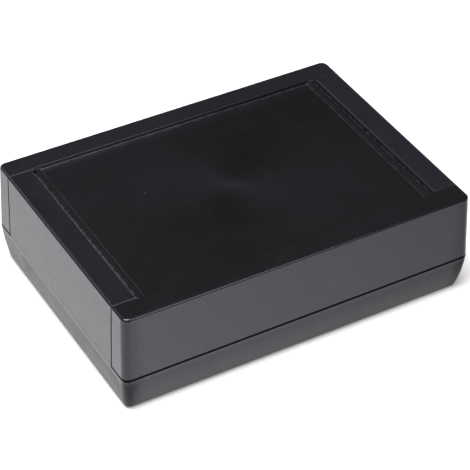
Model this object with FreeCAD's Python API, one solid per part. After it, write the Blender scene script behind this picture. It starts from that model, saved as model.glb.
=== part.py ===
"""Moulded instrument housing of two shells.

The base's end walls fold over the top, and the cover drops between them. Sizes are in millimetres.
The origin is the middle of the underside, +X runs along the length, +Z is up and -Y is the front.
"""
import FreeCAD
import Part
import math
import os

from FreeCAD import Vector

# Overall form, measured at the parting line, where the housing is longest and widest
LENGTH = 140.0
WIDTH = 100.9
HEIGHT = 42.0
PART_Z = 15.45               # height of the parting line
DRAFT_DEG = 1.8              # lean of the walls above the parting line
CORNER_R = 2.7               # upright corners
TOP_EDGE_R = 0.9             # rolled edge round the cover's top
BOTTOM_EDGE_R = 2.5          # edge round the underside

# Below the parting line every wall curves in towards the underside
END_CURVE_R = 126.0
END_CURVE_START_DEG = 4.2
SIDE_CURVE_R = 44.0
SIDE_CURVE_START_DEG = 1.5

# Mouldings
WALL = 2.5
SKIN = 1.25                  # outer half of the wall, where two pieces lap
FLOOR = 2.5                  # base floor
INNER_CORNER_R = 1.0         # least radius of an inside upright corner of the cover

# Seams
SEAM_GAP = 0.7               # open line between base and cover at the parting line
STRIP_GAP = 0.35             # open line beside the end walls and strips
SEAM_EDGE_R = 0.35           # rounding of the edges beside that line
LAP_CLEARANCE = 0.12         # between the lapped halves
TONGUE_HEIGHT = 2.0          # tongue on the base that the cover seats on
LAP_WIDTH = 1.2              # how far the base's end wall runs on behind the cover

# End walls and the strips that they fold over the top
STRIP_WIDTH = 10.6           # from the end of the housing to the strip's inner edge
STRIP_MARGIN = 9.95          # from the front or back to the strip and its end wall
STRIP_EDGE_R = 1.0           # the strip's long edges
GROOVE_WIDTH = 1.2           # open groove between the strip and the cover's ledge
RAIL_WIDTH = 4.5             # rail under each strip's inner edge, on which the cover's ledge bears
RAIL_HEIGHT = 1.3
RAIL_LAP = 0.8               # how far the rail reaches under the ledge
GUSSET_COUNT = 4
GUSSET_THICK = 1.5
GUSSET_REACH = 7.0           # along the underside of the strip
GUSSET_DROP = 11.0           # down the end wall
GUSSET_SPREAD = 60.0         # from the first gusset to the last

# The cover's top is two bars, at the front and back, with a sunken panel between them
BAR_MARGIN = 9.2             # from the front or back to the bar's inner edge
PANEL_DEPTH = 1.75
PANEL_FLOOR = 2.3            # thickness under the panel
PANEL_END_MARGIN = 13.5      # from the end of the housing
PANEL_FOOT_R = 0.45
LEDGE_DEPTH = 0.75           # ledge between the panel and each strip
LEDGE_THICK = 1.4
LEDGE_LIP_R = 0.25
GATE_D = 3.0                 # witness of the gate, inside, at the middle of the panel
GATE_HEIGHT = 0.4

# Screws and the pillars that they join
PILLAR_END_MARGIN = 18.0     # from the end of the housing to a pillar's axis
PILLAR_SIDE_MARGIN = 9.0     # from the front or back of the housing
BASE_PILLAR_D = 9.4
COVER_PILLAR_D = 7.6
PILLAR_MEET_Z = 11.0         # top of the base's pillars
PILLAR_GAP = 0.15            # the rims close before the pillars do
PILLAR_WEB = 1.6             # web from a pillar to the wall beside it
SCREW_SHANK_D = 3.0
SCREW_HEAD_D = 5.8
SCREW_HEAD_HEIGHT = 2.3
SCREW_HEAD_BEVEL = 0.7
SCREW_LENGTH = 14.0
SCREW_SEAT_Z = 7.5           # where the head bears, deep in its well
CROSS_WIDTH = 0.9
CROSS_LENGTH = 3.4
CROSS_DEPTH = 1.3
HEAD_CLEARANCE = 0.35
SHANK_CLEARANCE = 0.2        # in the base, where the shank passes
PILOT_CLEARANCE = 0.03       # in the cover, where the thread bites
PILOT_SPARE = 2.0            # empty depth past the screw's tip

# Standoffs on the base floor for a circuit board
STANDOFF_D = 6.0
STANDOFF_HEIGHT = 5.0
STANDOFF_HOLE_D = 2.5
BOARD_HOLE_X = 90.0
BOARD_HOLE_Y = 60.0

# Lengths that only make the cutting tools reach past what they cut
PAST = 5.0
NEAR = 0.01                  # two places this close are the same place
ROOT = 0.6                   # how far a rib or web is let into the wall that carries it

HALF_L = LENGTH / 2.0
HALF_W = WIDTH / 2.0
STRIP_Y = HALF_W - STRIP_MARGIN
SEAM_Y = STRIP_Y + STRIP_GAP
BAR_Y = HALF_W - BAR_MARGIN
LEDGE_X = HALF_L - STRIP_WIDTH - GROOVE_WIDTH
PANEL_X = HALF_L - PANEL_END_MARGIN
PANEL_Z = HEIGHT - PANEL_DEPTH
PANEL_UNDER_Z = PANEL_Z - PANEL_FLOOR
RAIL_TOP = HEIGHT - LEDGE_DEPTH - LEDGE_THICK - LAP_CLEARANCE
LEAN = math.tan(math.radians(DRAFT_DEG))
SIDES = (-1, 1)


def box(x0, x1, y0, y1, z0, z1):
    """Box between two corners, given in any order along X and Y."""
    low = Vector(min(x0, x1), min(y0, y1), z0)
    return Part.makeBox(abs(x1 - x0), abs(y1 - y0), z1 - z0, low)


def cylinder(diameter, x, y, z0, z1):
    """Upright cylinder from z0 to z1."""
    return Part.makeCylinder(diameter / 2.0, z1 - z0, Vector(x, y, z0))


def upper_form(inset):
    """Solid that fills the housing above the parting line, drawn in by inset at the sides and top."""
    top = HEIGHT - inset
    low_x = HALF_L - inset
    low_y = HALF_W - inset
    lean_in = LEAN * (top - PART_Z)
    high_x = low_x - lean_in
    high_y = low_y - lean_in
    form = Part.makeWedge(-low_x, PART_Z, -low_y, -high_y, -high_x, low_x, top, low_y, high_y, high_x)
    form.rotate(Vector(0, 0, 0), Vector(1, 0, 0), 90)
    uprights = [e for e in form.Edges if e.BoundBox.ZLength > (top - PART_Z) / 2.0]
    return form.makeFillet(max(CORNER_R - inset, INNER_CORNER_R), uprights)


def curved_slab(half, half_depth, curve_r, start_deg, inset, low_z, along_x):
    """Slab whose two long sides are arcs that curve in from the parting line down to low_z."""
    start = math.radians(start_deg)
    centre_out = half - curve_r * math.cos(start)
    centre_z = PART_Z + curve_r * math.sin(start)
    radius = curve_r - inset

    def on_arc(z):
        return centre_out + math.sqrt(radius ** 2 - (centre_z - z) ** 2)

    low, mid = on_arc(low_z), on_arc((low_z + PART_Z) / 2.0)
    high = on_arc(PART_Z)

    def place(out, z):
        return Vector(out, -half_depth, z) if along_x else Vector(-half_depth, out, z)

    mid_z = (low_z + PART_Z) / 2.0
    right = Part.Arc(place(low, low_z), place(mid, mid_z), place(high, PART_Z)).toShape()
    left = Part.Arc(place(-high, PART_Z), place(-mid, mid_z), place(-low, low_z)).toShape()
    over = Part.LineSegment(place(high, PART_Z), place(-high, PART_Z)).toShape()
    under = Part.LineSegment(place(-low, low_z), place(low, low_z)).toShape()
    face = Part.Face(Part.Wire([right, over, left, under]))
    depth = Vector(0, 2 * half_depth, 0) if along_x else Vector(2 * half_depth, 0, 0)
    return face.extrude(depth)


def lower_form(inset, low_z):
    """Solid that fills the housing below the parting line, drawn in by inset and standing on low_z."""
    ends = curved_slab(HALF_L, HALF_W + PAST, END_CURVE_R, END_CURVE_START_DEG, inset, low_z, True)
    sides = curved_slab(HALF_W, HALF_L + PAST, SIDE_CURVE_R, SIDE_CURVE_START_DEG, inset, low_z, False)
    return ends.common(sides)


def end_zone(grow_in, grow_aside):
    """Pair of boxes that hold the base's end walls and strips, grown towards the panel and sideways."""
    reach = STRIP_Y + grow_aside
    boxes = []
    for side in SIDES:
        boxes.append(box(side * (HALF_L - STRIP_WIDTH - grow_in), side * (HALF_L + PAST), -reach, reach,
                         PART_Z, HEIGHT + PAST))
    return boxes


def seat_rail(grow, low_z):
    """Pair of rails under the strips' inner edges, from low_z up to where the cover's ledge bears."""
    inner = LEDGE_X - RAIL_LAP - grow
    reach = STRIP_Y + LAP_WIDTH + grow
    rails = []
    for side in SIDES:
        outer = inner + RAIL_WIDTH + grow
        rails.append(box(side * inner, side * outer, -reach, reach, low_z, RAIL_TOP + grow))
    return rails


def top_edges(shape):
    """Edges round the flat top: those along X, and all the others."""
    top = [f for f in shape.Faces if f.BoundBox.ZMin > HEIGHT - NEAR]
    edges = [e for face in top for e in face.OuterWire.Edges]
    along = [e for e in edges if e.BoundBox.YLength < NEAR]
    others = [e for e in edges if e.BoundBox.YLength >= NEAR]
    return along, others


def seam_slivers(edge_y, body):
    """Slivers that round the upright edges at y = +-edge_y. The body lies out (1) or in (-1)."""
    slivers = []
    for side in SIDES:
        for y_side in SIDES:
            x = -side * SEAM_EDGE_R
            y = y_side * body * SEAM_EDGE_R
            sliver = box(0, x, 0, y, -PAST, HEIGHT).cut(cylinder(2 * SEAM_EDGE_R, x, y, -PAST, HEIGHT))
            sliver.rotate(Vector(0, 0, 0), Vector(0, 1, 0), -side * DRAFT_DEG)
            sliver.translate(Vector(side * HALF_L, y_side * edge_y, PART_Z))
            slivers.append(sliver)
    return slivers


def slab(z0, z1):
    """Everything between two heights."""
    return box(-LENGTH, LENGTH, -WIDTH, WIDTH, z0, z1)


def pillar_places():
    """Name and axis of each cover screw."""
    places = []
    for y_side, y_name in ((-1, "front"), (1, "back")):
        for x_side, x_name in ((-1, "left"), (1, "right")):
            x = x_side * (HALF_L - PILLAR_END_MARGIN)
            y = y_side * (HALF_W - PILLAR_SIDE_MARGIN)
            places.append((y_name + "_" + x_name, x, y))
    return places


def pillar_web(x, y, z0, z1):
    """Web that ties a pillar to the long wall beside it."""
    side = 1 if y > 0 else -1
    return box(x - PILLAR_WEB / 2.0, x + PILLAR_WEB / 2.0, y, side * (HALF_W - WALL + ROOT), z0, z1)


def gussets():
    """Thin brackets under each strip, from the end wall to the strip's underside."""
    ribs = []
    under = HEIGHT - WALL + ROOT
    for side in SIDES:
        wall_x = HALF_L - WALL + ROOT - LEAN * (HEIGHT - PART_Z)
        for k in range(GUSSET_COUNT):
            y = -GUSSET_SPREAD / 2.0 + GUSSET_SPREAD * k / (GUSSET_COUNT - 1)
            corner = Vector(side * wall_x, y - GUSSET_THICK / 2.0, under)
            inner = Vector(side * (wall_x - GUSSET_REACH), corner.y, under)
            foot = Vector(side * wall_x, corner.y, under - GUSSET_DROP)
            face = Part.Face(Part.makePolygon([corner, inner, foot, corner]))
            ribs.append(face.extrude(Vector(0, GUSSET_THICK, 0)))
    return ribs


def make_base():
    """Tray with the tongue, the end walls and strips, the pillars and the standoffs."""
    tray = lower_form(0.0, 0.0)
    uprights = [e for e in tray.Edges if e.BoundBox.ZLength > PART_Z / 2.0]
    tray = tray.makeFillet(CORNER_R, uprights)
    under = [e for e in tray.Edges if e.BoundBox.ZMax < BOTTOM_EDGE_R / 2.0]
    tray = tray.makeFillet(BOTTOM_EDGE_R, under)
    tray = tray.cut(lower_form(WALL, FLOOR))
    hollow = upper_form(WALL)
    skin_line = upper_form(SKIN)
    tongue = skin_line.cut(hollow).common(slab(PART_Z, PART_Z + TONGUE_HEIGHT))
    pieces = [tongue]
    strip_line = box(-LENGTH, LENGTH, -STRIP_Y, STRIP_Y, 0, HEIGHT)
    strip_line = strip_line.makeFillet(SEAM_EDGE_R, top_edges(strip_line)[0])
    for zone, lapped in zip(end_zone(0.0, 0.0), end_zone(0.0, LAP_WIDTH)):
        outer = upper_form(0.0).common(zone)
        outer = outer.makeFillet(STRIP_EDGE_R, top_edges(outer)[1]).common(strip_line)
        outer = outer.cut(seam_slivers(STRIP_Y, -1))
        pieces.append(outer.cut(skin_line))
        pieces.append(skin_line.common(lapped).cut(hollow))
    pieces.extend(seat_rail(0.0, RAIL_TOP - RAIL_HEIGHT))
    pieces.extend(gussets())
    reach = lower_form(WALL - ROOT, FLOOR - ROOT)
    for _, x, y in pillar_places():
        pieces.append(cylinder(BASE_PILLAR_D, x, y, FLOOR - ROOT, PILLAR_MEET_Z).common(reach))
        pieces.append(pillar_web(x, y, FLOOR - ROOT, PILLAR_MEET_Z).common(reach))
    for sx in SIDES:
        for sy in SIDES:
            x, y = sx * BOARD_HOLE_X / 2.0, sy * BOARD_HOLE_Y / 2.0
            pieces.append(cylinder(STANDOFF_D, x, y, FLOOR - ROOT, FLOOR + STANDOFF_HEIGHT))
    base = tray.fuse(pieces)
    holes = []
    for _, x, y in pillar_places():
        holes.append(cylinder(SCREW_HEAD_D + 2 * HEAD_CLEARANCE, x, y, -PAST, SCREW_SEAT_Z))
        holes.append(cylinder(SCREW_SHANK_D + 2 * SHANK_CLEARANCE, x, y, 0, PILLAR_MEET_Z + PAST))
    for sx in SIDES:
        for sy in SIDES:
            x, y = sx * BOARD_HOLE_X / 2.0, sy * BOARD_HOLE_Y / 2.0
            holes.append(cylinder(STANDOFF_HOLE_D, x, y, FLOOR, FLOOR + STANDOFF_HEIGHT + PAST))
    return base.cut(holes).removeSplitter()


def panel_tool():
    """Pocket of the sunken panel, with a rounded foot."""
    pocket = box(-PANEL_X, PANEL_X, -BAR_Y, BAR_Y, PANEL_Z, HEIGHT + PAST)
    foot = [e for e in pocket.Edges if e.BoundBox.ZMax < PANEL_Z + NEAR]
    return pocket.makeFillet(PANEL_FOOT_R, foot)


def trough(half_x, half_y, floor_z):
    """Trough along X, taken out of the top down to floor_z, that leaves a rounded lip either side."""
    lip_y = half_y + SEAM_EDGE_R
    lip_z = HEIGHT - SEAM_EDGE_R
    mouth = box(-half_x, half_x, -lip_y, lip_y, lip_z, HEIGHT + PAST)
    for side in SIDES:
        start = Vector(-half_x, side * lip_y, lip_z)
        mouth = mouth.cut(Part.makeCylinder(SEAM_EDGE_R, 2 * half_x, start, Vector(1, 0, 0)))
    return mouth.fuse(box(-half_x, half_x, -half_y, half_y, floor_z, HEIGHT))


def is_ledge_lip(edge):
    """True for the edge between a ledge and the panel."""
    size = edge.BoundBox
    level = size.ZLength < NEAR and abs(size.ZMin - (HEIGHT - LEDGE_DEPTH)) < NEAR
    return level and size.XLength < NEAR and abs(abs(size.XMin) - PANEL_X) < NEAR


def cover_block():
    """The cover's outside, still solid: two bars, the ledges and the panel."""
    block = upper_form(0.0).common(slab(PART_Z + SEAM_GAP, HEIGHT))
    along, others = top_edges(block)
    block = block.makeFillet(TOP_EDGE_R, along + others)
    seams = trough(LENGTH, SEAM_Y, HEIGHT - SEAM_EDGE_R)
    sunken = trough(HALF_L - STRIP_WIDTH, BAR_Y, HEIGHT - LEDGE_DEPTH)
    block = block.cut([seams, sunken, panel_tool()])
    block = block.cut(end_zone(GROOVE_WIDTH, STRIP_GAP) + seam_slivers(SEAM_Y, 1))
    return block.makeFillet(LEDGE_LIP_R, [e for e in block.Edges if is_ledge_lip(e)])


def make_cover():
    """Cover with its corner posts, front and back bars, sunken panel and screw pillars."""
    under_panel = box(-LEDGE_X, LEDGE_X, -BAR_Y - WALL, BAR_Y + WALL, PANEL_UNDER_Z, HEIGHT)
    shell = cover_block().cut(upper_form(WALL).cut(under_panel))
    seat = PART_Z + TONGUE_HEIGHT
    reach = upper_form(WALL - ROOT)
    pieces = []
    for _, x, y in pillar_places():
        pieces.append(cylinder(COVER_PILLAR_D, x, y, PILLAR_MEET_Z + PILLAR_GAP, PANEL_UNDER_Z + ROOT))
        pieces.append(pillar_web(x, y, seat + ROOT, PANEL_UNDER_Z + ROOT).common(reach))
    pieces.append(cylinder(GATE_D, 0, 0, PANEL_UNDER_Z - GATE_HEIGHT, PANEL_UNDER_Z + ROOT))
    cover = shell.fuse(pieces)
    lap_line = upper_form(SKIN - LAP_CLEARANCE)
    rabbet = lap_line.common(slab(PART_Z, seat))
    for _, x, y in pillar_places():
        rabbet = rabbet.cut(cylinder(COVER_PILLAR_D, x, y, PART_Z, seat))
    cuts = [rabbet]
    cuts.extend(zone.common(lap_line) for zone in end_zone(GROOVE_WIDTH, LAP_WIDTH + LAP_CLEARANCE))
    cuts.extend(seat_rail(LAP_CLEARANCE, PART_Z))
    for _, x, y in pillar_places():
        cuts.append(cylinder(SCREW_SHANK_D + 2 * PILOT_CLEARANCE, x, y, PILLAR_MEET_Z - PAST,
                             SCREW_SEAT_Z + SCREW_LENGTH + PILOT_SPARE))
    return cover.cut(cuts).removeSplitter()


def make_screw(x, y):
    """Blunt thread-forming screw, head down, with a bevelled head, a cross recess and a plain shank."""
    low = SCREW_SEAT_Z - SCREW_HEAD_HEIGHT
    head = cylinder(SCREW_HEAD_D, x, y, low, SCREW_SEAT_Z)
    rim = [e for e in head.Edges if e.BoundBox.ZMax < low + NEAR]
    head = head.makeChamfer(SCREW_HEAD_BEVEL, rim)
    shank = cylinder(SCREW_SHANK_D, x, y, SCREW_SEAT_Z - ROOT, SCREW_SEAT_Z + SCREW_LENGTH)
    half, arm = CROSS_WIDTH / 2.0, CROSS_LENGTH / 2.0
    cross = [box(x - half, x + half, y - arm, y + arm, low - PAST, low + CROSS_DEPTH),
             box(x - arm, x + arm, y - half, y + half, low - PAST, low + CROSS_DEPTH)]
    return head.fuse(shank).cut(cross).removeSplitter()


def write(name, shape):
    """Check a piece and write it as one STEP file."""
    solid = shape.Solids[0]
    if len(shape.Solids) != 1 or not solid.isValid():
        raise ValueError(name + " is not one valid solid")
    solid.exportStep("parts/" + name + ".step")
    size = solid.BoundBox
    print("%-26s %9.1f mm3  x %7.2f %7.2f  y %7.2f %7.2f  z %6.2f %6.2f" % (
        name, solid.Volume, size.XMin, size.XMax, size.YMin, size.YMax, size.ZMin, size.ZMax))


os.makedirs("parts", exist_ok=True)
write("base", make_base())
write("cover", make_cover())
for place, screw_x, screw_y in pillar_places():
    write("cover_screw_" + place, make_screw(screw_x, screw_y))
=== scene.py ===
# %% [markdown]
# # A black moulded housing on a white table
#
# The object is a small closed enclosure of the kind that holds a circuit board: two injection
# moulded shells of black ABS that are pulled together by four screws from below. The base carries
# the two end walls, which fold over the top as flat strips, and the cover drops in between them.
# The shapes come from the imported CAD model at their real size, so nothing is modelled here. This
# lesson builds the finish of each piece from nodes, one effect at a time, and then sets the table,
# the light and the camera.

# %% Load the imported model
import math

import bpy
from mathutils import Matrix, Vector


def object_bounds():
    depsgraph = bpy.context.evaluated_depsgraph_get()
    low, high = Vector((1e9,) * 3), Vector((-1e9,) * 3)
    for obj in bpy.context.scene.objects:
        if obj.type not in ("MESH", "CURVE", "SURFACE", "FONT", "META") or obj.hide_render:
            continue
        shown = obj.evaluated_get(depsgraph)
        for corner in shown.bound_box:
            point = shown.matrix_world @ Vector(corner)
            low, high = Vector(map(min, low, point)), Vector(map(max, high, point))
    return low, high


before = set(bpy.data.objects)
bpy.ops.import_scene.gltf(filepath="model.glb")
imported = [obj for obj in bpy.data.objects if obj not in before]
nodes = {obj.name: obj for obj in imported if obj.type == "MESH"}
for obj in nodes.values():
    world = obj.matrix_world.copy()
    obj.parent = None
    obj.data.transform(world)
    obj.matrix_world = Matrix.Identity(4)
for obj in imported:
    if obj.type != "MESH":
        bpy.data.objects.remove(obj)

cad_box = [list(corner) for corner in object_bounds()]
print("packed nodes:", sorted(nodes))
print("box of the model in metres:", cad_box)

# %% [markdown]
# ## Sizes and colours
#
# Blender works in metres and in linear colour, while a moulder thinks in millimetres and picks
# colours from a swatch. One factor and one function turn the second into the first, so that every
# number below can be read as a real size or a real swatch.

# %% Sizes and colours
MM = 0.001


def linear(swatch):
    """Turns an sRGB hex swatch into the linear RGBA that a shader socket takes."""
    levels = [int(swatch[k:k + 2], 16) / 255.0 for k in (1, 3, 5)]
    toned = [v / 12.92 if v <= 0.04045 else ((v + 0.055) / 1.055) ** 2.4 for v in levels]
    return (*toned, 1.0)


print("a mid grey swatch in linear light:", [round(v, 3) for v in linear("#808080")])

# %% [markdown]
# ## Building a material out of nodes
#
# A material is a small graph. Each node does one thing, such as making noise, and its output feeds
# the next. Building the graph in code keeps it readable if a single helper adds any kind of node:
# its settings go in by name, and each input takes a plain value, one output of an earlier node, or
# an earlier node itself, which then stands for the first output it has in use. A ramp is the node
# used most. It turns one range of numbers into another and stops at both ends.

# %% The one helper that adds a node
def feed(tree, node, socket, source):
    """Fills one input of a node with a plain value, an output, or an earlier node."""
    if isinstance(source, bpy.types.Node):
        source = next(output for output in source.outputs if output.enabled)
    if isinstance(source, bpy.types.NodeSocket):
        tree.links.new(source, node.inputs[socket])
    else:
        node.inputs[socket].default_value = source


def add_node(tree, kind, inputs=None, **settings):
    """Adds one shader node, sets its options by name and fills its inputs."""
    node = tree.nodes.new("ShaderNode" + kind)
    for option, value in settings.items():
        setattr(node, option, value)
    for socket, source in (inputs or {}).items():
        feed(tree, node, socket, source)
    return node


def new_material(name):
    """Makes an empty material and hands back its node tree with the position on the object."""
    material = bpy.data.materials.new(name)
    material.use_nodes = True
    tree = material.node_tree
    tree.nodes.clear()
    place = add_node(tree, "TexCoord").outputs["Object"]
    print("new material:", name)
    return material, tree, place


shader_kinds = [kind for kind in dir(bpy.types) if kind.startswith("ShaderNode")]
print("kinds of shader node to choose from:", len(shader_kinds))

# %% [markdown]
# ## The grain of the mould
#
# The shells are satin rather than glossy because the steel of the mould was spark eroded: the
# plastic copies its fine pebbled skin. The eye doesn't see the pebbles one by one. It sees a soft
# glint. Real pebbles in the mesh would take millions of faces, so a bump node tilts the reflection
# instead. The pebbles are about 0.1 mm wide, which is finer than a dot of the render, so they are
# drawn four times as coarse. Under them lie faint wide waves, where the thick and the thin parts of
# a wall cooled at different speeds and shrank by different amounts.

# %% Grain of the mould
GRAIN_REAL = 0.1 * MM
GRAIN_DRAWN = 0.4 * MM
GRAIN_DEPTH = 0.006 * MM
WAVE_WIDTH = 16 * MM
WAVE_DEPTH = 0.07 * MM


def mould_grain(tree, place, depth):
    """Normal of a spark eroded skin, over faint waves where the thick and thin walls shrank."""
    shrink = add_node(tree, "TexNoise", {"Vector": place, "Scale": 1 / WAVE_WIDTH, "Detail": 1.0})
    waves = add_node(tree, "Bump", {"Height": shrink, "Distance": WAVE_DEPTH})
    pebbles = add_node(tree, "TexNoise", {"Vector": place, "Scale": 1 / GRAIN_DRAWN,
                                          "Detail": 2.0, "Roughness": 0.6})
    return add_node(tree, "Bump", {"Height": pebbles, "Distance": depth * GRAIN_DEPTH, "Normal": waves})


print("grain drawn", round(GRAIN_DRAWN / GRAIN_REAL, 1), "times as coarse as it is")

# %% [markdown]
# ## Specks of dust
#
# Black plastic shows every speck, since ABS charges up when it is rubbed and then holds light grey
# dust. Scattered points are what a Voronoi pattern is for: it cuts space into cells with one centre
# each. Every cell also has a fixed random colour, so its red can serve as a lottery: the higher the
# number, the stronger the speck, and half of the cells get none. Small loose meshes could do it
# too, but each would be one more piece. A speck is about 0.05 mm wide, too fine to show, so it is
# drawn about three times as coarse.

# %% Specks of dust
SPECK_SPACING = 1.2 * MM
SPECK_REAL = 0.05 * MM
SPECK_DRAWN = 0.14 * MM
SPECK_CORE = 0.4
LOTTERY_FROM = 0.5
LOTTERY_TO = 1.1


def specks(tree, place):
    """Scattered specks, 0 to 1, of different strength."""
    cells = add_node(tree, "TexVoronoi", {"Vector": place, "Scale": 1 / SPECK_SPACING})
    dot = SPECK_DRAWN / SPECK_SPACING
    near = add_node(tree, "MapRange", {"Value": cells, "From Min": dot, "From Max": SPECK_CORE * dot})
    lottery = add_node(tree, "SeparateColor", {"Color": cells.outputs["Color"]})
    chosen = add_node(tree, "MapRange", {"Value": lottery, "From Min": LOTTERY_FROM,
                                         "From Max": LOTTERY_TO})
    return add_node(tree, "Math", {0: near, 1: chosen}, operation="MULTIPLY")


print("room for", round((10 * MM / SPECK_SPACING) ** 2), "specks per square centimetre, drawn",
      round(SPECK_DRAWN / SPECK_REAL, 1), "times as coarse as they are")

# %% [markdown]
# ## Short fibres
#
# A few textile fibres cling to the skin as well: fine, short and bent. A curve object could stand
# for each, but a pattern needs no placing by hand. A larger Voronoi pattern, bent by noise, gives a
# net of curved lines if only the borders of its cells are kept. A second noise cuts that net up and
# leaves a short piece here and there. A fibre is about 0.02 mm thick, too fine to show, so it is
# drawn between three and four times as coarse.

# %% Short fibres
FIBRE_SPACING = 9 * MM
FIBRE_REAL = 0.02 * MM
FIBRE_DRAWN = 0.07 * MM
FIBRE_BEND_OVER = 4 * MM
FIBRE_BEND_BY = 5 * MM
FIBRE_LENGTH = 3 * MM
FIBRE_CORE = 0.3
CUT_FROM = 0.66
CUT_TO = 0.72


def fibres(tree, place):
    """Short bent fibres, 0 to 1."""
    bend = add_node(tree, "TexNoise", {"Vector": place, "Scale": 1 / FIBRE_BEND_OVER})
    shift = add_node(tree, "VectorMath", {0: bend.outputs["Color"], "Scale": FIBRE_BEND_BY},
                     operation="SCALE")
    bent = add_node(tree, "VectorMath", {0: place, 1: shift}, operation="ADD")
    net = add_node(tree, "TexVoronoi", {"Vector": bent, "Scale": 1 / FIBRE_SPACING},
                   feature="DISTANCE_TO_EDGE")
    width = FIBRE_DRAWN / FIBRE_SPACING
    thread = add_node(tree, "MapRange", {"Value": net, "From Min": width, "From Max": FIBRE_CORE * width})
    cut = add_node(tree, "TexNoise", {"Vector": place, "Scale": 1 / FIBRE_LENGTH})
    kept = add_node(tree, "MapRange", {"Value": cut, "From Min": CUT_FROM, "From Max": CUT_TO})
    return add_node(tree, "Math", {0: thread, 1: kept}, operation="MULTIPLY")


print("fibres about", round(FIBRE_LENGTH / MM, 1), "mm long, drawn",
      round(FIBRE_DRAWN / FIBRE_REAL, 1), "times as coarse as they are")

# %% [markdown]
# ## Dust and painted light in the corners
#
# A cloth wipes the open faces and leaves dust in the corners: at the foot of the rim round the
# panel and in the seams of the strips. The same pale grey also lifts the shade that falls in these
# grooves and draws the seams as light lines, so it is part real dust and part painted light. An
# ambient occlusion node finds such places. It sends a few short rays out from each point and tells
# how many of them get away. Only the top of the housing is lightened in this way, so a ramp on the
# height limits it, and a noise breaks it up into clumps. Painting the corners by hand would look as
# good, but it would have to be done again after every change of shape.

# %% Dust and painted light in the corners
CORNER_REACH = 1.5 * MM
CORNER_OPEN = 0.8
CORNER_DEEP = 0.35
CORNER_DUST_AND_LIGHT = 0.28
CLUMP_WIDTH = 2.0 * MM
CLUMPS_FROM = 0.4
CLUMPS_TO = 0.66
TOP_FROM = 36 * MM
TOP_FULL = 38 * MM
AO_RAYS = 6


def near_top(tree, place):
    """0 low on the housing and 1 near its top."""
    height = add_node(tree, "SeparateXYZ", {"Vector": place}).outputs["Z"]
    return add_node(tree, "MapRange", {"Value": height, "From Min": TOP_FROM, "From Max": TOP_FULL})


def corner_dust_and_light(tree, place):
    """Clumps of dust in the upper corners, which also paint light into their shade, 0 to 1."""
    # painted light: the pale grey lifts the shade in the grooves and draws the seams as light lines
    rays = add_node(tree, "AmbientOcclusion", {"Distance": CORNER_REACH}, samples=AO_RAYS)
    corner = add_node(tree, "MapRange", {"Value": rays.outputs["AO"], "From Min": CORNER_OPEN,
                                         "From Max": CORNER_DEEP})
    noise = add_node(tree, "TexNoise", {"Vector": place, "Scale": 1 / CLUMP_WIDTH, "Detail": 4.0,
                                        "Roughness": 0.65})
    clumps = add_node(tree, "MapRange", {"Value": noise, "From Min": CLUMPS_FROM,
                                         "From Max": CLUMPS_TO})
    corner_lightening = add_node(tree, "Math", {0: corner, 1: near_top(tree, place)}, operation="MULTIPLY")
    return add_node(tree, "Math", {0: corner_lightening, 1: clumps}, operation="MULTIPLY")


print("corners filled above", round(TOP_FROM / MM), "mm, covering up to", CORNER_DUST_AND_LIGHT)

# %% [markdown]
# ## All the dust and the painted corner light together
#
# The three kinds lie on the same skin, and the one in the corners also paints light into their shade.
# Where two of them meet, the stronger one is what the eye sees. So they are joined by taking the
# larger value, and adding them up would make bright spots.

# %% All the dust and the painted corner light
LOOSE_DUST = 0.28
FIBRE_SHARE = 0.35


def dust(tree, place):
    """All the light dust, with the painted light in the corners, as the share of the colour that it covers.
    """
    threads = add_node(tree, "Math", {0: fibres(tree, place), 1: FIBRE_SHARE}, operation="MULTIPLY")
    loose = add_node(tree, "Math", {0: specks(tree, place), 1: threads}, operation="MAXIMUM")
    loose = add_node(tree, "Math", {0: loose, 1: LOOSE_DUST}, operation="MULTIPLY")
    # painted light: this share also lifts the shade in the corners and seams
    corner_lightening = add_node(tree, "Math", {0: corner_dust_and_light(tree, place), 1: CORNER_DUST_AND_LIGHT}, operation="MULTIPLY")
    return add_node(tree, "Math", {0: loose, 1: corner_lightening}, operation="MAXIMUM")


print("loose dust covers up to", LOOSE_DUST, "of the black under it")

# %% [markdown]
# ## The blush round the gate
#
# The cover was filled through one point in the middle of its sunk panel. The melt froze first round
# that point, and the skin there stayed a little hazy: a pale streak with two bright wings and two
# dark ones, like a bow tie. A painted picture could do this, but plain arithmetic on the position
# is exact, needs no file, and stays sharp at any distance.
#
# With u and v the position along and across the bright wings, (u * u - v * v) is positive in the
# bright wings and negative in the dark ones. Dividing by the squared distance keeps it within 1,
# and a second division fades it out over the reach of the blush.

# %% Blush round the gate
BLUSH_TURN = math.radians(140)
BLUSH_CORE = 3 * MM
BLUSH_REACH = 34 * MM
BLUSH_WINGS = 0.75
BLUSH_SPOT = 1.4


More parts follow.
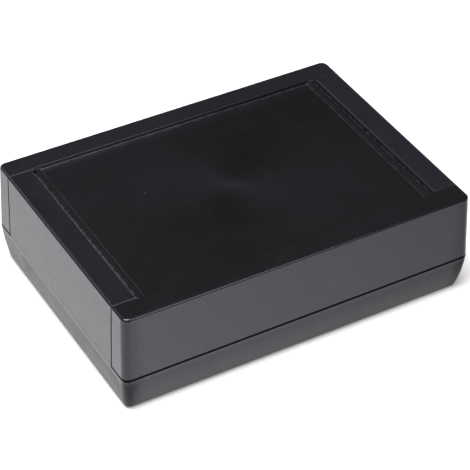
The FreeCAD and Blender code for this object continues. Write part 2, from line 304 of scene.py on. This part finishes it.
def gate_blush(tree, place):
    """Haze round the gate: positive in the pale wings, negative in the dark ones."""
    turned = add_node(tree, "VectorRotate", {"Vector": place, "Angle": -BLUSH_TURN}, rotation_type="Z_AXIS")
    squared = add_node(tree, "VectorMath", {0: turned, 1: turned}, operation="MULTIPLY")
    part = add_node(tree, "SeparateXYZ", {"Vector": squared})
    u_u, v_v = part.outputs["X"], part.outputs["Y"]
    span = add_node(tree, "Math", {0: u_u, 1: v_v}, operation="ADD")
    to_core = add_node(tree, "Math", {0: span, 1: BLUSH_CORE ** 2}, operation="ADD")
    to_reach = add_node(tree, "Math", {0: span, 1: BLUSH_REACH ** 2}, operation="ADD")
    bow = add_node(tree, "Math", {0: u_u, 1: v_v}, operation="SUBTRACT")
    wings = add_node(tree, "Math", {0: bow, 1: to_core}, operation="DIVIDE")
    fade = add_node(tree, "Math", {0: BLUSH_WINGS * BLUSH_REACH ** 2, 1: to_reach}, operation="DIVIDE")
    spot = add_node(tree, "Math", {0: BLUSH_SPOT * BLUSH_CORE ** 2, 1: to_core}, operation="DIVIDE")
    return add_node(tree, "Math", {0: wings, 1: fade, 2: spot}, operation="MULTIPLY_ADD")


print("blush reaches", round(BLUSH_REACH / MM), "mm from the gate")

# %% [markdown]
# ## Streaks of the melt and marks of hands
#
# A large face of moulded plastic is never one flat tone. The melt leaves faint streaks along its
# flow, and handling leaves a haze that is patchy over a centimetre or so. Both are a noise. The
# streaks come from stretching it: the position is squeezed along one axis before the noise reads
# it, so each blot comes out long and narrow.

# %% Streaks and handling
STREAK_WIDTH = 5 * MM
STREAK_LENGTH = 45 * MM
HANDLING_WIDTH = 11 * MM
SOFT_FROM = 0.25
SOFT_TO = 0.75


def streaks(tree, place, axis):
    """Streaks of the melt along one axis, 0 to 1."""
    squeeze = [1 / STREAK_WIDTH] * 3
    squeeze["XYZ".index(axis)] = 1 / STREAK_LENGTH
    drawn_out = add_node(tree, "VectorMath", {0: place, 1: squeeze}, operation="MULTIPLY")
    noise = add_node(tree, "TexNoise", {"Vector": drawn_out, "Scale": 1.0, "Detail": 3.0})
    return add_node(tree, "MapRange", {"Value": noise, "From Min": SOFT_FROM, "From Max": SOFT_TO})


def handling(tree, place):
    """Patches left by hands, 0 to 1."""
    noise = add_node(tree, "TexNoise", {"Vector": place, "Scale": 1 / HANDLING_WIDTH, "Detail": 3.0})
    return add_node(tree, "MapRange", {"Value": noise, "From Min": SOFT_FROM, "From Max": SOFT_TO})


print("streaks", round(STREAK_LENGTH / STREAK_WIDTH), "times as long as they are wide")

# %% [markdown]
# ## The colour of moulded ABS
#
# ABS is a tough, slightly soft plastic that takes carbon black well, so its own colour is close to
# black. What greys it is haze: the streaks, the marks of hands, the blush, and a thicker haze on the
# strips of the base and on the back bar of the cover, which grows towards the right end. That thicker
# haze is painted light: it lightens these parts of the top, more towards the right, where it offsets
# the painted shade of the falling gloss. All of these are shares of one haze colour. A chain of mix
# nodes could lay them on one by one, but they are simply added up here, and one mix turns the sum
# into a colour.

# %% Colour of moulded ABS
STREAK_SHARE = 0.15
HANDLING_SHARE = 0.2
LIGHTENED_LEFT = 0.5
LIGHTENED_RIGHT = 1.05
BLUSH_SHARE = 0.7
HALF_LENGTH = 70 * MM


def abs_tone(tree, place, colours, streak_axis, lightened, blush):
    """Near black with the haze of streaks, hands and gate, and painted light on the top. The zone of
    painted light is an axis, a start and an end.
    """
    at = add_node(tree, "SeparateXYZ", {"Vector": place})
    axis, start, end = lightened
    # painted light: a lighter haze on one zone of the top, growing towards the right end
    zone = add_node(tree, "MapRange", {"Value": at.outputs[axis], "From Min": start, "From Max": end})
    lightening_along = add_node(tree, "MapRange", {"Value": at.outputs["X"], "From Min": -HALF_LENGTH,
                                       "From Max": HALF_LENGTH, "To Min": LIGHTENED_LEFT,
                                       "To Max": LIGHTENED_RIGHT})
    haze = add_node(tree, "Math", {0: streaks(tree, place, streak_axis), 1: STREAK_SHARE},
                    operation="MULTIPLY")
    haze = add_node(tree, "Math", {0: handling(tree, place), 1: HANDLING_SHARE, 2: haze},
                    operation="MULTIPLY_ADD")
    haze = add_node(tree, "Math", {0: zone, 1: lightening_along, 2: haze}, operation="MULTIPLY_ADD")
    if blush:
        haze = add_node(tree, "Math", {0: gate_blush(tree, place), 1: BLUSH_SHARE, 2: haze},
                        operation="MULTIPLY_ADD")
    return add_node(tree, "Mix", {"Factor": haze, "A": linear(colours[0]), "B": linear(colours[1])},
                    data_type="RGBA", clamp_factor=False)


print("held places are", round(LIGHTENED_LEFT, 2), "to", round(LIGHTENED_RIGHT, 2), "of the full haze")

# %% [markdown]
# ## Edges that hands have rubbed
#
# Hands and tables rub an edge first. It turns a little shinier, and its black wears to a chalky
# grey. A bevel node finds the edges without any change to the shape: it gives the normal that a
# small rounding would have, and where this differs from the true normal, an edge is near.

# %% Rubbed edges
EDGE_RUBBED = 0.5 * MM
EDGE_CHALK = 0.045
EDGE_POLISH = 0.08
EDGE_FROM = 0.995
EDGE_FULL = 0.9
BEVEL_RAYS = 4


def rubbed_edge(tree):
    """0 on the faces and 1 on the edges."""
    rounded = add_node(tree, "Bevel", {"Radius": EDGE_RUBBED}, samples=BEVEL_RAYS)
    true_face = add_node(tree, "NewGeometry").outputs["Normal"]
    agree = add_node(tree, "VectorMath", {0: rounded, 1: true_face}, operation="DOT_PRODUCT")
    return add_node(tree, "MapRange", {"Value": agree, "From Min": EDGE_FROM, "From Max": EDGE_FULL})


least_turn = math.degrees(math.acos(EDGE_FROM))
print("an edge shows where the two normals are", round(least_turn), "degrees or more apart")

# %% [markdown]
# ## Grime and painted shade low on the walls
#
# The walls are glossiest in the middle. The curved foot of the box and its two end walls lose
# gloss, and most of all the place where both meet. This is partly grime and fine scuffs from the
# bench, and partly painted shade, which darkens the end walls and the reflection of the table close
# to the foot, where the box shades the table. What this takes away is gloss. Each of the three is a
# ramp on the position, and a noise of a few millimetres keeps the borders from looking ruled.

# %% Grime and painted shade
FOOT_TOP = 17 * MM
FOOT_FULL = 13 * MM
FOOT_GRIME_AND_SHADE = 0.33
END_FROM = 62 * MM
END_FULL = 67 * MM
END_TOP = 42 * MM
END_BELOW = 40 * MM
END_GRIME_AND_SHADE = 0.30
MEETING_GRIME_AND_SHADE = 0.20
PATCH_WIDTH = 8 * MM
PATCH_SWING = 0.06


def grime_and_shade(tree, place):
    """Share of the gloss that grime, scuffs and painted shade take away."""
    at = add_node(tree, "SeparateXYZ", {"Vector": place})
    outward = add_node(tree, "Math", {0: at.outputs["X"]}, operation="ABSOLUTE")
    end = add_node(tree, "MapRange", {"Value": outward, "From Min": END_FROM, "From Max": END_FULL})
    height = at.outputs["Z"]
    foot = add_node(tree, "MapRange", {"Value": height, "From Min": FOOT_TOP, "From Max": FOOT_FULL})
    wall = add_node(tree, "MapRange", {"Value": height, "From Min": END_TOP, "From Max": END_BELOW})
    end_wall = add_node(tree, "Math", {0: end, 1: wall}, operation="MULTIPLY")
    meeting = add_node(tree, "Math", {0: end, 1: foot}, operation="MULTIPLY")
    # painted shade: less gloss low on the walls and on the end walls makes them darker
    dulled = add_node(tree, "Math", {0: foot, 1: FOOT_GRIME_AND_SHADE}, operation="MULTIPLY")
    dulled = add_node(tree, "Math", {0: end_wall, 1: END_GRIME_AND_SHADE, 2: dulled}, operation="MULTIPLY_ADD")
    dulled = add_node(tree, "Math", {0: meeting, 1: MEETING_GRIME_AND_SHADE, 2: dulled}, operation="MULTIPLY_ADD")
    noise = add_node(tree, "TexNoise", {"Vector": place, "Scale": 1 / PATCH_WIDTH, "Detail": 4.0})
    patches = add_node(tree, "MapRange", {"Value": noise, "From Min": 0.3, "From Max": 0.7,
                                          "To Min": 1 - PATCH_SWING, "To Max": 1 + PATCH_SWING})
    return add_node(tree, "Math", {0: dulled, 1: patches}, operation="MULTIPLY")


most_grime_and_shade = FOOT_GRIME_AND_SHADE + END_GRIME_AND_SHADE + MEETING_GRIME_AND_SHADE
print("where foot and end meet, grime takes", round(most_grime_and_shade, 2), "of the gloss")

# %% [markdown]
# ## Painted shade in the joint
#
# Where cover and base meet, a thin dark line runs round the box. Most of it is the gap itself,
# which the model has. The rest is painted shade: the inside of the gap and its two lips lose all
# their gloss, so they come out darker. A dark line painted on the walls could look the same from
# one side only, while this one follows the gap. Ambient occlusion finds the inside of it. The lips
# are edges, so the helper for edges finds those, and a ramp keeps them to the height of the joint.

# %% Painted shade in the joint
JOINT_REACH = 1.2 * MM
JOINT_SHADED = 0.5
JOINT_UNSHADED = 0.85
JOINT_HEIGHT = 15.45 * MM
LIP_FROM = 1.6 * MM
LIP_FULL = 0.9 * MM


def joint_unshaded(tree, place, edge):
    """Share of the gloss that is left: 1 on the open faces and 0 in the joint, where shade is painted."""
    # painted shade: where few rays get away, the gloss goes and the gap turns darker
    rays = add_node(tree, "AmbientOcclusion", {"Distance": JOINT_REACH}, samples=AO_RAYS)
    deep = add_node(tree, "MapRange", {"Value": rays.outputs["AO"], "From Min": JOINT_SHADED,
                                       "From Max": JOINT_UNSHADED})
    open_face = add_node(tree, "Math", {0: deep, 1: near_top(tree, place)}, operation="MAXIMUM")
    height = add_node(tree, "SeparateXYZ", {"Vector": place}).outputs["Z"]
    off = add_node(tree, "Math", {0: height, 1: JOINT_HEIGHT}, operation="SUBTRACT")
    off = add_node(tree, "Math", {0: off}, operation="ABSOLUTE")
    near = add_node(tree, "MapRange", {"Value": off, "From Min": LIP_FROM, "From Max": LIP_FULL})
    lip = add_node(tree, "Math", {0: near, 1: edge}, operation="MULTIPLY")
    no_lip = add_node(tree, "Math", {0: 1.0, 1: lip}, operation="SUBTRACT")
    return add_node(tree, "Math", {0: open_face, 1: no_lip}, operation="MULTIPLY")


print("joint at", round(JOINT_HEIGHT / MM, 1), "mm above the table")

# %% [markdown]
# ## The gloss of the skin
#
# Nearly all the light that comes back from black plastic is reflection, so gloss decides how grey
# it looks. The gloss falls slowly along the length, a painted shade that makes the right end darker,
# as if the light fell off from left to right. A sparkle on top of that stands for the single facets
# of the eroded skin, which catch the light one by one. It is stronger on the end walls, where the
# light comes in low. A bump alone would need far finer dots than the render has, so a noise in the
# gloss draws the sparkle. Like the grain it is drawn coarser than it is, six times here.

# %% Gloss of the skin
GLOSS_LEFT = 0.57
GLOSS_RIGHT = 0.31
NOISE_MIDDLE = 0.5
SPARKLE_WIDTH = 0.6 * MM
SPARKLE = 0.5
SPARKLE_ENDS = 1.6
SPARKLE_FROM = 58 * MM


def skin_gloss(tree, place, grain):
    """Specular level of the clean skin, with painted shade towards the right end. A coarser grain sparkles
    more.
    """
    at = add_node(tree, "SeparateXYZ", {"Vector": place})
    # painted shade: the gloss falls from the left end to the right end
    level = add_node(tree, "MapRange", {"Value": at.outputs["X"], "From Min": -HALF_LENGTH,
                                        "From Max": HALF_LENGTH, "To Min": GLOSS_LEFT,
                                        "To Max": GLOSS_RIGHT})
    outward = add_node(tree, "Math", {0: at.outputs["X"]}, operation="ABSOLUTE")
    swing = add_node(tree, "MapRange", {"Value": outward, "From Min": SPARKLE_FROM, "From Max": END_FROM,
                                        "To Min": grain * SPARKLE, "To Max": grain * SPARKLE_ENDS})
    facets = add_node(tree, "TexNoise", {"Vector": place, "Scale": 1 / SPARKLE_WIDTH, "Detail": 2.0,
                                         "Roughness": 0.7})
    lean = add_node(tree, "Math", {0: facets, 1: NOISE_MIDDLE}, operation="SUBTRACT")
    sparkle = add_node(tree, "Math", {0: lean, 1: swing, 2: 1.0}, operation="MULTIPLY_ADD")
    return add_node(tree, "Math", {0: level, 1: sparkle}, operation="MULTIPLY")


print("gloss falls from", GLOSS_LEFT, "to", GLOSS_RIGHT, "along the length")

# %% [markdown]
# ## Moulded ABS
#
# Now everything meets in one shader. ABS has an index of refraction of 1.53, and straight from a
# spark eroded mould it is satin. Its reflection has a faint cool tint, which is painted light: it
# stands for a cool cast of the light, and it shows face on and turns neutral at a low angle, as on
# the end walls. Handling also polishes some places and dulls others, so roughness drifts a little
# over a centimetre.
#
# The shader gets the plain values of clean ABS first, and then three of them are fed from the
# graph: colour from tone, chalk, dust and painted light, roughness from handling and edges, and
# gloss from grime, painted shade and sparkle.

# %% Moulded ABS
ABS_IOR = 1.53
COOL_LIGHT_TINT = "#EFEBFF"
DUST_AND_LIGHT_GREY = "#8C8C8C"
ROUGHNESS_DRIFT = 0.03


def moulded_abs(name, colours, roughness, streak_axis, lightened, grain, blush=False):
    """Black ABS with a spark eroded skin, as used by a few years of handling, with painted light and shade
    where noted.
    """
    material, tree, place = new_material(name)
    edge = rubbed_edge(tree)
    tone = abs_tone(tree, place, colours, streak_axis, lightened, blush)
    # painted shade: clean is the gloss left outside the painted shade of the joint
    clean = joint_unshaded(tree, place, edge)
    worn_edge = add_node(tree, "Math", {0: edge, 1: clean}, operation="MULTIPLY")
    # painted light: the dust share includes the light painted into the corners and seams
    pale = add_node(tree, "Math", {0: worn_edge, 1: EDGE_CHALK, 2: dust(tree, place)},
                    operation="MULTIPLY_ADD")
    dust_and_light_tone = add_node(tree, "Mix", {"Factor": pale, "A": tone, "B": linear(DUST_AND_LIGHT_GREY)}, data_type="RGBA")
    drift = add_node(tree, "MapRange", {"Value": handling(tree, place),
                                        "To Min": roughness - ROUGHNESS_DRIFT,
                                        "To Max": roughness + ROUGHNESS_DRIFT})
    rubbed = add_node(tree, "Math", {0: edge, 1: -EDGE_POLISH, 2: drift}, operation="MULTIPLY_ADD")
    # painted shade: low on the walls and in the joint, gloss is taken away
    gloss_kept = add_node(tree, "Math", {0: 1.0, 1: grime_and_shade(tree, place)}, operation="SUBTRACT")
    gloss_kept = add_node(tree, "Math", {0: gloss_kept, 1: clean}, operation="MULTIPLY")
    gloss = add_node(tree, "Math", {0: skin_gloss(tree, place, grain), 1: gloss_kept}, operation="MULTIPLY")
    # painted light: the cool tint of the reflection stands for a cool cast of the light
    shader = add_node(tree, "BsdfPrincipled", {
        "Base Color": linear(colours[0]), "Roughness": roughness, "IOR": ABS_IOR,
        "Specular Tint": linear(COOL_LIGHT_TINT), "Normal": mould_grain(tree, place, grain)})
    feed(tree, shader, "Base Color", dust_and_light_tone)
    feed(tree, shader, "Roughness", rubbed)
    feed(tree, shader, "Specular IOR Level", gloss)
    add_node(tree, "OutputMaterial", {"Surface": shader})
    print(name, "has", len(tree.nodes), "nodes")
    return material


print("clean ABS: index of refraction", ABS_IOR)

# %% [markdown]
# ## Two shells, two moulds
#
# Both shells are one plastic, but each comes from its own mould. The cover is finer and a little
# glossier, its melt ran along the length, and it has the gate. The base is coarser, and its melt
# rose up the walls. One material with a switch inside could serve both, but two calls of the same
# function are easier to read and to change.

# %% The ABS of cover and base
cover_abs = moulded_abs("moulded_abs_cover", ("#121213", "#1B1B1F"), roughness=0.22, streak_axis="X",
                        lightened=("Y", 36 * MM, 42 * MM), grain=0.7, blush=True)
base_abs = moulded_abs("moulded_abs_base", ("#101012", "#1A1A1F"), roughness=0.24, streak_axis="Z",
                       lightened=("Z", 38 * MM, 41 * MM), grain=1.5)
print("two materials:", cover_abs.name, "and", base_abs.name)

# %% [markdown]
# ## Zinc plated steel
#
# The four screws sit deep in their pillars. They are steel wire that was headed, rolled and plated
# with zinc, then passivated, which leaves a bright grey metal with faint cloudy patches that lean
# to blue and yellow. Being a metal, its colour is all in the reflection, so metallic is 1 and the
# index of refraction stays at the shader's own value. Rolling leaves fine lines along the shank,
# about 0.05 mm apart, which are drawn four times as coarse. A plain grey would nearly do, as the
# screws hardly show, but the part may be taken apart in another scene.

# %% Zinc plated steel
ZINC_ROUGHNESS = 0.3
CLOUD_WIDTH = 1.8 * MM
ROLLED_LINE = (0.2 * MM, 0.2 * MM, 3 * MM)
ROLLED_DEPTH = 0.01 * MM


def zinc_plated_steel(name):
    """Bright passivated zinc over rolled steel wire."""
    material, tree, place = new_material(name)
    noise = add_node(tree, "TexNoise", {"Vector": place, "Scale": 1 / CLOUD_WIDTH, "Detail": 2.0})
    clouds = add_node(tree, "MapRange", {"Value": noise, "From Min": 0.35, "From Max": 0.65})
    tone = add_node(tree, "Mix", {"Factor": clouds, "A": linear("#B4B8BF"), "B": linear("#C2BFB2")},
                    data_type="RGBA")
    stretched = add_node(tree, "VectorMath", {0: place, 1: ROLLED_LINE}, operation="DIVIDE")
    lines = add_node(tree, "TexNoise", {"Vector": stretched, "Scale": 1.0})
    rolled = add_node(tree, "Bump", {"Height": lines, "Distance": ROLLED_DEPTH})
    shader = add_node(tree, "BsdfPrincipled", {"Base Color": linear("#BABCBE"), "Metallic": 1.0,
                                               "Roughness": ZINC_ROUGHNESS, "Normal": rolled})
    feed(tree, shader, "Base Color", tone)
    add_node(tree, "OutputMaterial", {"Surface": shader})
    return material


screw_zinc = zinc_plated_steel("zinc_plated_steel")
print("screws:", screw_zinc.name)

# %% [markdown]
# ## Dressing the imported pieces
#
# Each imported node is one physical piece: the cover, the base and four screws. Their meshes could be
# copied and dressed, but they already have the right shape, so they stay as they are and only the
# material in each slot changes.

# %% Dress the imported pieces
def dress(node_name, material):
    """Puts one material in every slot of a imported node."""
    mesh = nodes[node_name].data
    if not mesh.materials:
        mesh.materials.append(material)
    for k in range(len(mesh.materials)):
        mesh.materials[k] = material


shell_materials = {"cover": cover_abs, "base": base_abs}
for node_name in nodes:
    dress(node_name, shell_materials.get(node_name, screw_zinc))
    print(node_name, "is", nodes[node_name].data.materials[0].name)

# %% [markdown]
# ## The table
#
# The housing rests on a wide board of matt white acrylic. It matters more than a background usually
# does, because the walls of a dark satin box are mirrors for the floor: the grey of the front and of
# the ends is the white board seen at two angles. A curved studio backdrop would do as well, but a
# flat board looks the same from every side.

# %% White table
TABLE_SIDE = 6.0


def flat_sheet(name, width, depth, centre):
    """Level sheet of the given size."""
    bpy.ops.mesh.primitive_plane_add(size=1.0, location=centre)
    sheet = bpy.context.object
    sheet.name = name
    sheet.scale = (width, depth, 1.0)
    return sheet


floor_z = cad_box[0][2]
table = flat_sheet("white_table", TABLE_SIDE, TABLE_SIDE, (0, 0, floor_z))
print("table top at", round(table.location.z / MM, 2), "mm")

# %% [markdown]
# ## Matt white acrylic
#
# Acrylic sheet that is sanded matt scatters light evenly, with only a dull gloss and a fine tooth.
# Like a light table the board glows a little from below, which softens the shadow at the foot of
# the box. The glow grows with distance, where less light reaches the board from above, so the
# board stays pale all the way out. A second lamp could fill the shadow too, but it would also
# draw a line of its own on every edge of the box.

# %% Matt white acrylic
GLOW_NEAR = 0.22
GLOW_FAR = 0.75
GLOW_FROM = 0.25
GLOW_TO = 0.9
TOOTH_WIDTH = 2 * MM
BOARD_SMOOTHEST = 0.6
BOARD_ROUGHEST = 0.9
BOARD_GLOSS = 0.2

acrylic, tree, _ = new_material("matt_white_acrylic")
world_place = add_node(tree, "NewGeometry").outputs["Position"]
far_out = add_node(tree, "VectorMath", {0: world_place}, operation="LENGTH")
glow = add_node(tree, "MapRange", {"Value": far_out, "From Min": GLOW_FROM, "From Max": GLOW_TO,
                                   "To Min": GLOW_NEAR, "To Max": GLOW_FAR})
noise = add_node(tree, "TexNoise", {"Vector": world_place, "Scale": 1 / TOOTH_WIDTH})
tooth = add_node(tree, "MapRange", {"Value": noise, "To Min": BOARD_SMOOTHEST,
                                    "To Max": BOARD_ROUGHEST})
board = add_node(tree, "BsdfPrincipled", {
    "Base Color": linear("#F4F4F4"), "Roughness": tooth, "Specular IOR Level": BOARD_GLOSS,
    "Emission Color": linear("#FFFFFF"), "Emission Strength": glow})
add_node(tree, "OutputMaterial", {"Surface": board})
table.data.materials.append(acrylic)
print("glow", GLOW_NEAR, "near the box and", GLOW_FAR, "far out")

# %% [markdown]
# ## A black flag
#
# On a rounded edge that runs from a pale wall to a dark top, the wall's grey would melt into the
# edge. A studio stops that with a black card, called a flag, laid just outside the picture. Its
# reflection draws a thin dark line along the edge, and a white card above draws a bright one. The
# flag is felt, so it gives nothing back. Only reflections see it here: it is hidden from the
# camera and throws no shadow, so the table stays white from every side.

# %% Black flag
FLAG_NEAR = -138 * MM
FLAG_DEPTH = 1.4
FLAG_WIDTH = 1.6
FLAG_LIFT = 1 * MM
NAP_WIDTH = 1 * MM

flag_centre = (0, FLAG_NEAR - FLAG_DEPTH / 2, floor_z + FLAG_LIFT)
flag = flat_sheet("black_flag", FLAG_WIDTH, FLAG_DEPTH, flag_centre)
felt, tree, place = new_material("black_felt")
noise = add_node(tree, "TexNoise", {"Vector": place, "Scale": 1 / NAP_WIDTH})
nap = add_node(tree, "MapRange", {"Value": noise, "To Min": 0.8, "To Max": 1.0})
cloth = add_node(tree, "BsdfPrincipled", {"Base Color": linear("#0C0C0C"), "Specular IOR Level": 0.0,
                                          "Roughness": nap})
add_node(tree, "OutputMaterial", {"Surface": cloth})
flag.data.materials.append(felt)
flag.visible_camera = False
flag.visible_diffuse = False
flag.visible_shadow = False
print("flag starts", round(-FLAG_NEAR / MM), "mm in front of the middle of the box")

# %% [markdown]
# ## The light
#
# The look is that of a small studio with a big soft light overhead and white cards round it. The
# overhead light whitens the table, which then lights the walls. Dim cards behind and in front
# draw the thin bright lines along the rounded edges, the seams and the rim of the panel. An edge
# is a strip of many slopes, so each card shows up as a line where the slope faces it. The cards
# could be white planes that catch light, but square area lights give the same lines with less
# noise. A dim grey world fills what is left, so that no gap is quite black.

# %% Light
WORLD_GREY = "#808080"
WORLD_STRENGTH = 0.25

world = bpy.data.worlds.new("studio")
bpy.context.scene.world = world
world.use_nodes = True
background = world.node_tree.nodes["Background"]
background.inputs["Color"].default_value = linear(WORLD_GREY)
background.inputs["Strength"].default_value = WORLD_STRENGTH


def softbox(name, place, aim, size, watts):
    """Square area light at one point, turned to face another."""
    data = bpy.data.lights.new(name, "AREA")
    data.shape = "SQUARE"
    data.size = size
    data.energy = watts
    lamp = bpy.data.objects.new(name, data)
    lamp.location = place
    lamp.rotation_euler = (Vector(aim) - Vector(place)).to_track_quat("-Z", "Y").to_euler()
    bpy.context.collection.objects.link(lamp)
    print(name, "at", place, "with", watts, "W")
    return lamp


BOX_TOP = (0, 0, 0.04)
softbox("overhead_softbox", (-0.18, -0.10, 0.65), (-0.18, -0.10, 0), size=0.45, watts=8.2)
softbox("back_left_card", (-0.20, 0.50, 0.45), BOX_TOP, size=0.3, watts=0.36)
softbox("back_right_card", (0.90, 0.85, 0.22), BOX_TOP, size=0.4, watts=0.5)
softbox("front_card", (0.18, -0.52, 0.36), BOX_TOP, size=0.22, watts=0.9)

# %% [markdown]
# ## The camera
#
# A long lens from well back keeps the edges of the box almost parallel, as in a catalogue picture.
# The camera is placed by angle and distance from a point near the top face, and its three axes are
# built from those angles, with a slight roll. A constraint that tracks a point could aim it too,
# but it has no roll. The Standard view leaves black and white as they are, without a film look.

# %% Camera
SENSOR_WIDTH = 36.0


def aim_camera(azimuth, elevation, roll, target, distance, lens):
    """Camera that looks at target. Azimuth 0 looks along +Y, elevation is above the table."""
    az, el, turn = (math.radians(v) for v in (azimuth, elevation, roll))
    back = Vector((math.sin(az) * math.cos(el), -math.cos(az) * math.cos(el), math.sin(el)))
    right = Vector((math.cos(az), math.sin(az), 0.0))
    up = back.cross(right)
    across = math.cos(turn) * right + math.sin(turn) * up
    upright = -math.sin(turn) * right + math.cos(turn) * up
    data = bpy.data.cameras.new("camera")
    data.lens = lens
    data.sensor_width = SENSOR_WIDTH
    camera = bpy.data.objects.new("camera", data)
    axes = Matrix((across, upright, back)).transposed().to_4x4()
    camera.matrix_world = Matrix.Translation(target + distance * back) @ axes
    bpy.context.collection.objects.link(camera)
    return camera


camera = aim_camera(azimuth=-30.054, elevation=38.665, roll=0.59,
                    target=Vector((-14.549, -27.525, 42.0)) * MM, distance=700.67 * MM, lens=155.42)
bpy.context.scene.camera = camera
bpy.context.scene.view_settings.view_transform = "Standard"
print("camera at", [round(v, 3) for v in camera.matrix_world.translation])

# %% [markdown]
# ## The imported pieces stay put
#
# Nothing here moves or resizes an imported piece, so the box of the model stays the one measured at
# the start.
